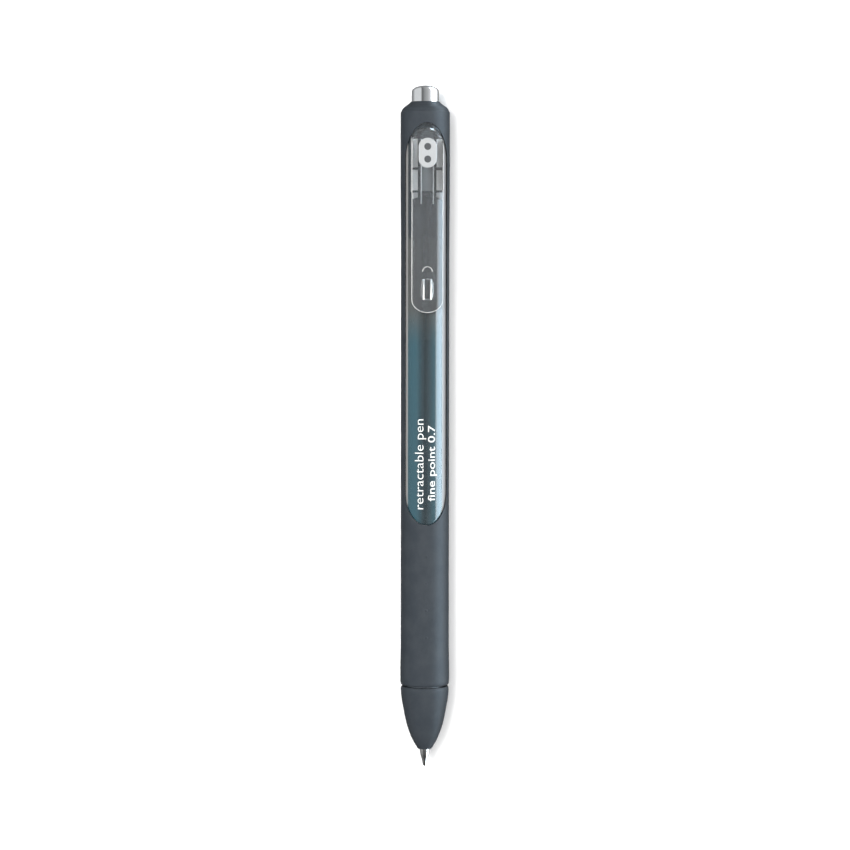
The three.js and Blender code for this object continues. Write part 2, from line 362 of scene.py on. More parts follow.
def widthAt(curve, along):
    # the radius of an outline at a distance along the pen
    for low, high in zip(curve, curve[1:]):
        if low.y <= along <= high.y and high.y > low.y:
            return low.x + (high.x - low.x) * (along - low.y) / (high.y - low.y)
    return curve[0].x if along < curve[0].y else curve[-1].x


def evenly(low, high, steps):
    # the ends of so many equal steps, both ends included
    return [low + (high - low) * k / steps for k in range(steps + 1)]


def spun(outline, steps=96, closed=True, turns=1.0, pitch=0.0):
    # an outline of (radius, along) turned about the axis, or wound up it where there is a pitch
    bm = bmesh.new()
    verts = [bm.verts.new((point[0], point[1], 0)) for point in outline]
    pairs = list(zip(verts, verts[1:])) + ([(verts[-1], verts[0])] if closed else [])
    edges = [bm.edges.new(pair) for pair in pairs]
    isFull = pitch == 0
    bmesh.ops.spin(bm, geom=verts + edges, cent=(0, 0, 0), axis=(0, 1, 0),
                   dvec=(0, pitch / steps, 0), angle=2 * math.pi * turns,
                   steps=round(steps * turns), use_merge=isFull)
    if not isFull:
        bmesh.ops.holes_fill(bm, edges=[e for e in bm.edges if e.is_boundary])
    return bm


def sheet(bm, rows, columns, place):
    # a grid whose rows follow the pen; place() gives a point from 0..1 across and its row
    grid = bmesh.ops.create_grid(bm, x_segments=columns, y_segments=len(rows) - 1, size=0.5)
    for vert in grid["verts"]:
        across = vert.co.x + 0.5
        row = rows[round((vert.co.y + 0.5) * (len(rows) - 1))]
        vert.co = place(across, row)


def onCylinder(radius, angle, along):
    # the angle is from straight up, towards +X
    return Vector((radius * math.sin(angle), along, radius * math.cos(angle)))


def endRing(bm, along, inner, outer, columns):
    # the flat end of a tube whose walls are sheets with as many columns
    sheet(bm, [inner, outer], columns, lambda across, radius: onCylinder(radius, 2 * math.pi * across, along))


def mergeDoubles(bm):
    bmesh.ops.remove_doubles(bm, verts=bm.verts, dist=0.0004)


def bevelEdges(bm, edges, size, segments):
    return bmesh.ops.bevel(bm, geom=edges, offset=size, offset_type="OFFSET", segments=segments, profile=0.5,
                           affect="EDGES", clamp_overlap=True, material=-1)["verts"]


def finishMesh(bm, name, material, sharp=32):
    mergeDoubles(bm)
    bmesh.ops.dissolve_degenerate(bm, edges=bm.edges, dist=0.0002)
    bmesh.ops.recalc_face_normals(bm, faces=bm.faces)
    bmesh.ops.translate(bm, vec=(0, ballEnd, axisHeight), verts=bm.verts)
    bmesh.ops.scale(bm, vec=(mm, mm, mm), verts=bm.verts)
    openEdges = sum(1 for e in bm.edges if len(e.link_faces) != 2)
    mesh = bpy.data.meshes.new(name)
    bm.to_mesh(mesh)
    bm.free()
    mesh.polygons.foreach_set("use_smooth", [True] * len(mesh.polygons))
    mesh.set_sharp_from_angle(angle=math.radians(sharp))
    mesh.materials.append(material)
    piece = bpy.data.objects.new(name, mesh)
    bpy.context.scene.collection.objects.link(piece)
    print(name, len(mesh.polygons), "faces", f"{openEdges} open edges" if openEdges else "")
    return piece


def fit(piece, body, slot, *nodes):
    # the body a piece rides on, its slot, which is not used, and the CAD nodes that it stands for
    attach(piece, body)
    if nodes:
        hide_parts(*nodes)


# the window's outline, shared by the wrap, the clear core and the layer between them
window = {"half": 4.36, "low": 51.3, "lowArch": 6.9, "high": 135.1, "highArch": 7.8}


def archHalf(shape, along, inset=0.0):
    # half the width of a strip with arched ends
    half = shape["half"] - inset
    low = shape["low"] + inset
    high = shape["high"] - inset
    short = 0.0
    if along <= low or along >= high:
        return 0.0
    if along < low + shape["lowArch"]:
        short = (low + shape["lowArch"] - along) / shape["lowArch"]
    if along > high - shape["highArch"]:
        short = (along - high + shape["highArch"]) / shape["highArch"]
    return half * math.sqrt(max(0.0, 1 - short ** 2))


def archRows(shape, inset=0.0, steps=14, straight=12):
    # rows along that strip, closer together where it is arched
    low = shape["low"] + inset
    high = shape["high"] - inset
    bends = [1 - math.cos(turn) for turn in evenly(0, math.pi / 2, steps)]
    lower = [low + shape["lowArch"] * bend for bend in bends]
    upper = [high - shape["highArch"] * bend for bend in reversed(bends)]
    return lower + evenly(lower[-1], upper[0], straight)[1:-1] + upper


wrapShape = {"columns": 128, "inner": 4.41, "lip": 0.64, "hole": 2.93, "rim": 0.1,
             "gripRows": (26, 51, 8),
             "outline": [(4.85, 17.35), (5.02, 17.55), (5.12, 18.0), (5.14, 18.8), (5.14, 21.5),
                         (5.09, 23.5), (5.06, 26), (5.06, 106), (5.09, 114), (5.14, 122),
                         (5.14, 136.2), (5.1, 137.0), (4.93, 137.75), (4.55, 138.35),
                         (3.95, 138.8), (3.4, 139.2), (2.98, 139.62)]}


def wrapRows(outline, inset):
    # rows follow the outline's bends and the window's arches
    edges = archRows(window, inset)
    ends = [p.y for p in outline if p.y < edges[0] - 1 or p.y > edges[-1] + 0.05]
    return sorted(ends + evenly(*wrapShape["gripRows"])[1:-1] + edges)


def backSheet(bm, rows, columns, radiusOf, inset=0.0):
    # the part of a tube that lies outside the window
    def place(across, along):
        radius = radiusOf(along)
        edge = math.asin(min(1.0, archHalf(window, along, inset) / radius))
        return onCylinder(radius, edge + (2 * math.pi - 2 * edge) * across, along)
    sheet(bm, rows, columns, place)


def windowStrip(bm, section):
    # a closed strip round the window; its section is a list of (inset, radius function)
    columns = [archRows(window, inset) for inset, radiusOf in section]
    last = len(columns[0]) - 1
    loop = [(1, k) for k in range(last + 1)] + [(-1, k) for k in range(last - 1, -1, -1)]

    def place(across, step):
        column = round(across * (len(section) - 1))
        inset, radiusOf = section[column]
        along = columns[column][step[1]]
        x = step[0] * archHalf(window, along, inset)
        return Vector((x, along, math.sqrt(radiusOf(along) ** 2 - x ** 2)))
    sheet(bm, loop, len(section) - 1, place)


def roundedEdge(size, inset, radiusOf, steps=3):
    # the section of an edge rounded over size, from the flat down to the wall
    bends = evenly(0, math.pi / 2, steps)
    return [(inset + size * (1 - math.sin(bend)),
             lambda along, bend=bend: radiusOf(along) - size * (1 - math.cos(bend))) for bend in bends]


def makeWrap():
    outline = splined(wrapShape["outline"], steps=4)
    rim = wrapShape["rim"]

    def outer(along):
        return widthAt(outline, along)

    def inner(along):
        return max(wrapShape["hole"], min(wrapShape["inner"], outer(along) - wrapShape["lip"]))

    bm = bmesh.new()
    backSheet(bm, wrapRows(outline, -rim), wrapShape["columns"], outer, -rim)
    backSheet(bm, wrapRows(outline, 0), wrapShape["columns"], inner)
    windowStrip(bm, [(-inset, radiusOf) for inset, radiusOf in roundedEdge(rim, 0, outer)] + [(0, inner)])
    for along in (outline[0].y, outline[-1].y):
        endRing(bm, along, inner(along), outer(along), wrapShape["columns"])
    fit(finishMesh(bm, "barrelWrap", rubber), "barrel", "soft_rubber", "grip_wrap")


# the clear core has a raised land in the window, and ribs in its bore that guide the plunger
coreShape = {"radius": 4.415, "land": 4.95, "inset": 0.03, "edge": 0.3, "columns": 128, "front": 40,
             "bottom": 17.75, "top": 138.0, "neck": 3.9, "neckFrom": 136, "plainRows": [40, 48, 135.8],
             "ribLow": 118.2, "ribTop": 136.5, "ribDepth": 0.4, "ribTurn": 22.5,
             "bore": [(3.95, 17.75), (3.95, 26), (3.45, 26.3), (3.45, 118.2), (3.45, 136.9),
                      (3.3, 137.5), (2.98, 138.0)]}


def windowPlastic():
    # clear, with a painted highlight as a pale band along both sides of the window, and beside that a painted
    # diffuse layer for the lit look of what is behind it
    look = {"tint": (0.90, 0.955, 0.965, 1), "shift": 0.25, "height": (2.3, 2.6),
            "sideHighlight": (0.24, 0.238, 0.235, 1), "sideHighlightAt": (3.46, 3.62), "inkLookAt": (-1.5, 2.4), "inkLookMost": 0.85,
            "refill": (0.051, 0.076, 0.088, 1), "inky": (0.028, 0.078, 0.100, 1), "refillTo": (0.4, 2.2),
            "empty": (0.075, 0.080, 0.078, 1), "inkEnds": (88, 98),
            "cam": (0.026, 0.034, 0.040, 1), "camStarts": (110.9, 111.6)}
    material, shader = newShader("clearPlastic")
    x, y, z = shader.axes()
    side = (x + look["shift"]).size()
    front = (z - axisHeight).smooth(*look["height"])
    along = y - ballEnd
    # painted light: a diffuse colour on the glass for the lit ink, the empty tube above it and the darker
    # region from the cam up, as the lamps can't light them through the plastic
    sides = shader.mixColour(side.smooth(*look["refillTo"]), look["refill"], look["inky"])
    behind = shader.mixColour(along.smooth(*look["inkEnds"]), sides, look["empty"])
    behind = shader.mixColour(along.smooth(*look["camStarts"]), behind, look["cam"])
    paintedInkLook = principled(shader, {"Roughness": 0.05, "Base Color": behind})
    paintedInkLookMask = side.smooth(*look["inkLookAt"]) * front * look["inkLookMost"]
    inside = mixSurfaces(shader, paintedInkLookMask, clearShade(shader, look["tint"]), paintedInkLook)
    # painted highlight: a pale band along both sides of the window's front
    sideHighlightMask = side.smooth(*look["sideHighlightAt"]) * front
    shader.surface(mixSurfaces(shader, sideHighlightMask, inside, paintedHighlightShade(shader, look["sideHighlight"])))
    return material


def coreRows(bottom, top):
    return sorted([bottom, top] + coreShape["plainRows"] + archRows(window, coreShape["inset"]))


def coreRadius(along):
    # a plain tube that narrows to its neck, under the button
    if along < coreShape["neckFrom"]:
        return coreShape["radius"]
    share = (along - coreShape["neckFrom"]) / (coreShape["top"] - coreShape["neckFrom"])
    return coreShape["radius"] + (coreShape["neck"] - coreShape["radius"]) * share ** 1.5


def isRib(face):
    # whether a rib rises from this face of the bore
    centre = face.calc_center_median()
    if not coreShape["ribLow"] < centre.y < coreShape["ribTop"]:
        return False
    turn = math.degrees(math.atan2(centre.x, centre.z)) % 45
    return abs(turn - coreShape["ribTurn"]) < 2 and 3.4 < centre.xz.length < 3.5


def makeCore():
    inset = coreShape["inset"]
    edge = coreShape["edge"]

    def onLand(across, along):
        x = (2 * across - 1) * archHalf(window, along, inset + edge)
        return Vector((x, along, math.sqrt(coreShape["land"] ** 2 - x ** 2)))

    def inBore(across, point):
        return onCylinder(point[0], 2 * math.pi * across, point[1])

    bm = bmesh.new()
    backSheet(bm, coreRows(coreShape["bottom"], coreShape["top"]), coreShape["columns"], coreRadius, inset)
    sheet(bm, archRows(window, inset + edge), coreShape["front"], onLand)
    windowStrip(bm, roundedEdge(edge, inset, lambda along: coreShape["land"]) + [(inset, coreRadius)])
    sheet(bm, coreShape["bore"], coreShape["columns"], inBore)
    mergeDoubles(bm)
    raised = bmesh.ops.extrude_face_region(bm, geom=[f for f in bm.faces if isRib(f)])
    covered = [f for f in bm.faces if isRib(f)]  # old and new faces lie together until the new ones move
    for vert in [v for v in raised["geom"] if isinstance(v, bmesh.types.BMVert)]:
        shrink = 1 - coreShape["ribDepth"] / vert.co.xz.length
        vert.co.x *= shrink
        vert.co.z *= shrink
    bmesh.ops.delete(bm, geom=[f for f in covered if isRib(f)], context="FACES")
    for radius, along in (coreShape["bore"][0], coreShape["bore"][-1]):
        endRing(bm, along, radius, coreRadius(along), coreShape["columns"])
    fit(finishMesh(bm, "barrelCore", windowPlastic()), "barrel", "clear_plastic", "barrel_core")


lightLayerShape = {"low": 30, "high": 135.9, "within": 0.01, "beyond": 0.03}


def makePaintedLightLayer():
    # a pale sheet between the core and the rubber, seen only through the window: painted light for the light
    # carried in the clear walls
    rows = coreRows(lightLayerShape["low"], lightLayerShape["high"])

    def inner(along):
        return coreShape["radius"] - lightLayerShape["within"]

    def outer(along):
        return coreShape["radius"] + lightLayerShape["beyond"]

    bm = bmesh.new()
    backSheet(bm, rows, coreShape["columns"], inner, coreShape["inset"])
    backSheet(bm, rows, coreShape["columns"], outer, coreShape["inset"])
    windowStrip(bm, [(coreShape["inset"], inner), (coreShape["inset"], outer)])
    for along in (rows[0], rows[-1]):
        endRing(bm, along, inner(along), outer(along), coreShape["columns"])
    fit(finishMesh(bm, "paintedLightLayer", paintedLining), "barrel", "clear_plastic")


makeWrap()
makeCore()
makePaintedLightLayer()
print("barrel made")


noseShape = {"hole": 1.2, "seam": 4.85,
             "curve": [(1.87, 4.41), (2.38, 5.25), (3.14, 6.94), (3.70, 8.62), (4.14, 10.3),
                       (4.45, 12.0), (4.77, 13.7), (4.95, 15.0), (5.04, 16.0)]}


def makeNoseCone():
    low, high = span("nose_sleeve")
    curve = noseShape["curve"]
    front = rounded([(noseShape["hole"], low + 0.03, 0), (1.45, low, 0.12), curve[0] + (0,)], closed=False)
    shoulder = rounded([curve[-1] + (0,), (5.06, 16.6, 0.35), (noseShape["seam"], high, 0)], closed=False)
    outer = front[:-1] + splined(curve, steps=5) + shoulder[1:]
    inner = [(3.87, high), (3.87, 14), (3.3, 9.2), (2.05, 5.6), (1.6, 4.33), (noseShape["hole"], 4.33)]
    bm = spun(list(outer) + inner, steps=128)
    fit(finishMesh(bm, "noseCone", rubber), "nose", "soft_rubber", "nose_sleeve")


insertShape = {"crest": 3.86, "root": 3.6, "pitch": 1.1, "turns": 5.75, "threadLow": 18.0}


def makeNoseInsert():
    low, high = span("nose_insert")
    outline = rounded([
        (1.17, low, 0), (1.57, low, 0), (2.0, 5.6, 0.2), (3.26, 9.2, 0.4), (3.84, 14, 0.2),
        (3.84, 17.2, 0.1), (insertShape["root"], 17.5, 0.1), (insertShape["root"], 24.9, 0.05),
        (3.45, high, 0.1), (3.3, high, 0), (3.3, 13.2, 0), (2.6, 12, 0.1), (2.6, 9.5, 0.1),
        (1.45, 9.5, 0.05), (1.17, 8.2, 0.1)])
    fit(finishMesh(spun(outline), "noseInsert", slate), "nose", "slate_plastic", "nose_insert")
    root = insertShape["root"] - 0.05
    crest = insertShape["crest"]
    start = insertShape["threadLow"]
    ridge = [(root, start), (crest, start + 0.28), (crest, start + 0.42), (root, start + 0.7)]
    thread = spun(ridge, steps=48, turns=insertShape["turns"], pitch=insertShape["pitch"])
    fit(finishMesh(thread, "noseThread", slate), "nose", "slate_plastic")


makeNoseCone()
makeNoseInsert()
print("nose made")


clipShape = {"half": 3.25, "low": 95.7, "lowArch": 2.7, "high": 135.0, "highArch": 3.4,
             "lean": 1.45, "leanFrom": 124, "face": 7.4, "tipFace": 7.0, "crown": 0.32, "thick": 1.3,
             "root": 120.7, "seat": 4.97, "columns": 48, "edge": 0.32,
             "rows": {"bead": (97.9, 103.1, 40), "arm": (103.6, 120.6, 10), "block": (120.72, 131.6, 8)}}
beadShape = {"width": 2.3, "length": 4.3, "middle": 100.5, "depth": 0.5, "soft": 0.3,
             "wall": 0.36, "wallAt": 0.76, "under": 5.3, "top": 7.075}
dimpleShape = {"radius": 1.0, "middle": 104.2, "wire": 0.06, "sunk": 0.04}


def clipPlastic():
    # slightly hazy, with a painted highlight along its edge
    look = {"tint": (0.80, 0.82, 0.84, 1), "clearness": 0.96, "edge": (0.85, 0.85, 0.84, 1),
            "edgeHighlightAt": (3.14, 3.21)}
    material, shader = newShader("hazyPlasticEdgeHighlight")
    x, y = shader.axes()[:2]
    along = y - ballEnd
    archStarts = clipShape["low"] + clipShape["lowArch"]
    beyond = along.math("MAXIMUM", (archStarts - along) * (clipShape["half"] / clipShape["lowArch"]), 0.0)
    reach = x.math("SQRT", x * x + beyond * beyond)
    # painted highlight along the clip's sides and round its lower arch
    mask = reach.smooth(*look["edgeHighlightAt"])
    shader.surface(mixSurfaces(shader, mask, clearShade(shader, look["tint"], look["clearness"]),
                               paintedHighlightShade(shader, look["edge"], 0.2)))
    return material


def stadiumDepth(x, along, width, length, middle, soft):
    # 1 inside a stadium, falling to 0 over a soft border outside it
    half = width / 2
    beyond = max(0.0, abs(along - middle) - (length / 2 - half))
    gap = math.hypot(x, beyond) - half
    share = min(1.0, max(0.0, 1 - gap / soft))
    return share * share * (3 - 2 * share)


def clipFace(x, along):
    share = (along - clipShape["low"]) / (clipShape["root"] - clipShape["low"])
    face = clipShape["tipFace"] + (clipShape["face"] - clipShape["tipFace"]) * min(1.0, share)
    return face - clipShape["crown"] * (x / clipShape["half"]) ** 2


def clipUnder(x, along):
    if along > clipShape["root"]:
        return math.sqrt(clipShape["seat"] ** 2 - x ** 2)
    share = (along - clipShape["low"]) / (clipShape["root"] - clipShape["low"])
    under = clipShape["tipFace"] - clipShape["thick"] + (clipShape["face"] - clipShape["tipFace"]) * share
    shape = beadShape
    soft = shape["soft"]
    bead = stadiumDepth(x, along, shape["width"] - soft, shape["length"] - soft, shape["middle"], soft)
    return under - shape["depth"] * bead


def clipRows():
    # the arched ends' own rows, close rows over the bead, and wider ones between
    spans = clipShape["rows"]
    ends = [t for t in archRows(clipShape, steps=12, straight=1)
            if t < spans["bead"][0] - 0.05 or t > spans["block"][1] - 0.1]
    rows = ends + [t for low, high, steps in spans.values() for t in evenly(low, high, steps)]
    return sorted(set(round(t, 4) for t in rows))


def makeClip():
    rows = clipRows()
    straight = clipShape["high"] - clipShape["highArch"]

    def onFace(across, along):
        x = (2 * across - 1) * archHalf(clipShape, along)
        slide = (along - clipShape["leanFrom"]) / (straight - clipShape["leanFrom"])
        reached = along - clipShape["lean"] * min(1.0, max(0.0, slide))
        return Vector((x, reached, clipFace(x, reached)))

    def onUnder(across, along):
        x = (2 * across - 1) * archHalf(clipShape, along)
        return Vector((x, along, clipUnder(x, along)))

    bm = bmesh.new()
    sheet(bm, rows, clipShape["columns"], onFace)
    sheet(bm, rows, clipShape["columns"], onUnder)
    mergeDoubles(bm)
    outline = [e for e in bm.edges if e.is_boundary]
    upper = [e for e in outline if all(abs(v.co.z - clipFace(v.co.x, v.co.y)) < 0.01 for v in e.verts)]
    bmesh.ops.bridge_loops(bm, edges=outline)
    bevelEdges(bm, upper, clipShape["edge"], 4)
    piece = finishMesh(bm, "clipBody", clipPlastic(), sharp=40)
    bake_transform(piece)
    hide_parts("clip_root", "clip_arm")


badgeShape = {"width": 3.8, "length": 6.2, "middle": 128.7, "low": 7.05, "high": 7.46,
              "edge": 0.1, "markRadius": 0.72, "markSpread": 1.3, "markProud": 0.015}


def stadiumPlate(width, length, middle, low, high, edge):
    # a round-ended plate with rounded edges
    bm = bmesh.new()
    disc = bmesh.ops.create_circle(bm, cap_ends=True, segments=48, radius=width / 2)
    for vert in disc["verts"]:
        reach = (length - width) / 2
        vert.co.y += middle + (reach if vert.co.y > 1e-5 else -reach)
    bmesh.ops.translate(bm, vec=(0, 0, low), verts=bm.verts)
    raised = bmesh.ops.extrude_face_region(bm, geom=bm.faces[:])
    verts = [v for v in raised["geom"] if isinstance(v, bmesh.types.BMVert)]
    bmesh.ops.translate(bm, vec=(0, 0, high - low), verts=verts)
    rim = [e for e in bm.edges if all(v.co.z > high - 0.001 for v in e.verts)]
    if edge:
        bevelEdges(bm, rim, edge, 3)
    return bm


def makeBadge():
    shape = badgeShape
    bm = stadiumPlate(shape["width"], shape["length"], shape["middle"], shape["low"], shape["high"],
                      shape["edge"])
    fit(finishMesh(bm, "clipBadge", silver), "barrel", "badge_silver", "clip_badge")
    for side, name in ((1, "badgeMarkUpper"), (-1, "badgeMarkLower")):
        width = 2 * shape["markRadius"]
        bm = stadiumPlate(width, width + 0.02, shape["middle"] + side * shape["markSpread"],
                          shape["high"] - 0.05, shape["high"] + shape["markProud"], 0)
        fit(finishMesh(bm, name, badgeInk), "barrel", "badge_silver")


def addBar(bm, low, high, edge=0.05):
    # a bar between two corners, with its edges rounded
    verts = bmesh.ops.create_cube(bm, size=1)["verts"]
    bmesh.ops.scale(bm, vec=Vector(high) - Vector(low), verts=verts)
    bmesh.ops.translate(bm, vec=(Vector(low) + Vector(high)) / 2, verts=verts)
    return bevelEdges(bm, list({e for v in verts for e in v.link_edges}), edge, 2)


seatShape = {"inner": 1.85, "outer": 3.0, "under": 5.3, "top": 5.5, "slope": 0.5,
             "panels": [(125.75, 131.6), (121.0, 125.2)], "foot": (119.1, 120.55), "footRise": 0.5}


def makeSeat():
    # pale panels in the clip's root, either side of its web: painted light for the light seen through the
    # clear root
    shape = seatShape
    bm = bmesh.new()
    for side in (-1, 1):
        x = sorted((side * shape["inner"], side * shape["outer"]))
        for low, high in shape["panels"]:
            addBar(bm, (x[0], low, shape["under"]), (x[1], high, shape["top"]), 0.09)
        low, high = shape["foot"]
        foot = addBar(bm, (x[0], low, shape["under"]), (x[1], high, shape["top"]), 0.06)
        for vert in [v for v in foot if v.co.y < (low + high) / 2]:
            inward = (shape["outer"] - abs(vert.co.x)) / (shape["outer"] - shape["inner"])
            vert.co.y += shape["footRise"] * inward
    for vert in bm.verts:
        vert.co.z -= shape["slope"] * (abs(vert.co.x) - shape["inner"])
    fit(finishMesh(bm, "clipLightPanels", rootLightPaint), "barrel", "clear_plastic")


stemShape = {"half": 1.05, "low": 120.9, "high": 131.4, "under": 5.0, "top": 5.25}


def makeStem():
    # the darker foot of the root, between the bars of the web
    shape = stemShape
    bm = bmesh.new()
    addBar(bm, (-shape["half"], shape["low"], shape["under"]), (shape["half"], shape["high"], shape["top"]))
    fit(finishMesh(bm, "clipStem", stemGrey), "barrel", "clear_plastic")


webShape = {"x": 1.2, "width": 0.16, "low": 118.2, "high": 131.5, "under": 5.2, "top": 6.0}


def makeWeb():
    # two white bars that run down from the root: painted highlights for the bright edges of a clear rib
    shape = webShape
    bm = bmesh.new()
    for x in (-shape["x"], shape["x"]):
        addBar(bm, (x - shape["width"] / 2, shape["low"], shape["under"]),
               (x + shape["width"] / 2, shape["high"], shape["top"]), 0.03)
    fit(finishMesh(bm, "clipWebHighlights", highlightWhite), "barrel", "clear_plastic")


def makeBead():
    # painted highlights: two white bars along the grip bead's sides, and a white arc at the rim of the small
    # dimple above it
    shape = beadShape
    low = shape["middle"] - shape["length"] / 2
    high = shape["middle"] + shape["length"] / 2
    bm = bmesh.new()
    half = shape["wall"] / 2
    for x in (-shape["wallAt"], shape["wallAt"]):
        addBar(bm, (x - half, low, shape["under"]), (x + half, high, shape["top"]), 0.12)
    fit(finishMesh(bm, "beadHighlights", highlightWhite), "clip", "clear_plastic")
    shape = dimpleShape
    bm = bmesh.new()
    wire = bmesh.ops.create_circle(bm, cap_ends=True, segments=12, radius=shape["wire"])
    bmesh.ops.rotate(bm, matrix=Matrix.Rotation(math.pi / 2, 3, "X"), verts=wire["verts"])
    bmesh.ops.translate(bm, vec=(shape["radius"], 0, 0), verts=wire["verts"])
    bmesh.ops.spin(bm, geom=bm.faces[:], axis=(0, 0, 1), angle=math.pi, steps=32, cent=(0, 0, 0))
    height = clipFace(0, shape["middle"]) - shape["sunk"]
    bmesh.ops.translate(bm, vec=(0, shape["middle"], height), verts=bm.verts)
    fit(finishMesh(bm, "dimpleHighlight", highlightWhite), "clip", "clear_plastic")


makeClip()
makeBadge()
makeSeat()
makeStem()
makeWeb()
makeBead()
print("clip made")


buttonShape = {"radius": 2.84, "side": 141.7, "wall": 0.5, "roof": 141.1}


def makeButton():
    shape = buttonShape
    low, high = span("push_button")
    dome = [(shape["radius"] * math.cos(a), shape["side"] + (high - shape["side"]) * math.sin(a))
            for a in evenly(0, math.pi / 2, 14)]
    dome[-1] = (0, high)
    inner = shape["radius"] - shape["wall"]
    outline = [(0, shape["roof"]), (inner, shape["roof"]), (inner, low), (shape["radius"] - 0.1, low),
               (shape["radius"], low + 0.1)] + dome
    bm = spun(outline, closed=False, steps=128)
    fit(finishMesh(bm, "pushButton", chrome), "button", "chrome_plate", "push_button")


plungerShape = {"bore": 0.8, "nose": 1.9, "flange": 2.9, "flangeTop": 127.5, "stem": 2.25,
                "keys": 4, "keyWidth": 1.8, "keyReach": 3.25, "keyTop": 131.85}


def addBlades(bm, count, firstTurn, width, low, high, inner, reach, edge=0.08):
    # flat blades that stand out from the axis, evenly round it
    for i in range(count):
        turn = math.radians(firstTurn + 360 / count * i)
        for vert in addBar(bm, (-width / 2, low, inner), (width / 2, high, reach), edge):
            x, z = vert.co.x, vert.co.z
            vert.co.x = x * math.cos(turn) + z * math.sin(turn)
            vert.co.z = z * math.cos(turn) - x * math.sin(turn)


def makePlunger():
    shape = plungerShape
    low, high = span("plunger")
    bore = shape["bore"]
    top = shape["flangeTop"]
    flange = rounded([(shape["nose"], 124.4, 0), (shape["flange"], 126.2, 0.7), (shape["flange"], top, 0.1),
                      (shape["stem"], top, 0.05), (shape["stem"], high, 0.1), (bore, high, 0.05)],
                     closed=False)
    nose = [(bore, low), (shape["nose"] - 0.25, low), (shape["nose"], low + 0.6)]
    bm = spun(nose + flange[:-1] + [(bore, high)])
    width, reach = shape["keyWidth"], shape["keyReach"]
    addBlades(bm, shape["keys"], 0, width, 125.6, top, 1.5, reach)
    addBlades(bm, shape["keys"], 0, width - 0.02, 126, shape["keyTop"], shape["flange"] - 0.01, reach - 0.01)
    fit(finishMesh(bm, "clickPlunger", slate), "button", "slate_plastic", "plunger")


rotorShape = {"radius": 2.95, "side": 118.6, "fins": 4, "firstFin": 22.5, "finWidth": 0.6,
              "finLow": 113.6, "finTop": 117.7, "finReach": 3.36}


def makeRotor():
    shape = rotorShape
    low, high = span("cam_rotor")
    outline = rounded([(0.8, low, 0), (shape["radius"], low, 0.12), (shape["radius"], shape["side"], 0.5),
                       (2.45, high - 0.5, 0.5), (1.65, high, 0.15), (0.8, high, 0)])
    bm = spun(outline)
    addBlades(bm, shape["fins"], shape["firstFin"], shape["finWidth"], shape["finLow"], shape["finTop"],
              2.7, shape["finReach"])
    fit(finishMesh(bm, "camRotor", slate), "rotor", "slate_plastic", "cam_rotor")


makeButton()
makePlunger()
makeRotor()
print("mechanism made")


springShape = {"radius": 2.25, "wire": 0.2, "low": 9.75, "high": 22.78, "turns": 10, "sides": 10}


def makeSpring():
    shape = springShape
    section = [(shape["radius"] + shape["wire"] * math.cos(a), shape["low"] + shape["wire"] * math.sin(a))
               for a in evenly(0, 2 * math.pi, shape["sides"])[:-1]]
    pitch = (shape["high"] - shape["low"]) / shape["turns"]
    bm = spun(section, steps=40, turns=shape["turns"], pitch=pitch)
    piece = finishMesh(bm, "returnSpring", steel)
    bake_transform(piece)
    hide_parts("return_spring")


refillShape = {"radius": 3.05, "bore": 2.7, "wetted": 2.72, "inkLow": 28.1, "inkTop": 90.0, "dome": 0.9,
               "gap": 0.08, "greaseTop": 97.0}


def makeRefill():
    shape = refillShape
    low, high = span("refill_tube")
    tube = rounded([(shape["radius"], low, 0.05), (shape["radius"], high, 0.1), (shape["bore"], high, 0.1),
                    (shape["bore"], low, 0.05)])
    fit(finishMesh(spun(tube), "refillTube", tubePlastic), "refill", "refill_plastic", "refill_tube")
    top = shape["inkTop"]
    wetted = shape["wetted"]
    meniscus = [(wetted * math.cos(a), top + shape["dome"] * math.sin(a) ** 2)
                for a in evenly(0, math.pi / 2, 8)[1:]]
    meniscus[-1] = (0, top + shape["dome"])
    inkOutline = [(0, shape["inkLow"]), (wetted, shape["inkLow"]), (wetted, top)] + meniscus
    fit(finishMesh(spun(inkOutline, closed=False), "inkFill", ink), "refill", "gel_ink", "ink_column")
    upper = shape["greaseTop"]
    greaseOutline = [(0, top + shape["dome"] + 0.1)]
    greaseOutline += [(radius, along + shape["gap"]) for radius, along in reversed(meniscus[:-1])]
    greaseOutline += [(wetted, top + shape["gap"]), (wetted, upper), (wetted - 0.5, upper - 0.25),
                      (1.2, upper - 0.4), (0, upper - 0.45)]
    fit(finishMesh(spun(greaseOutline, closed=False), "followerGel", grease), "refill", "follower_grease",
        "follower_grease")


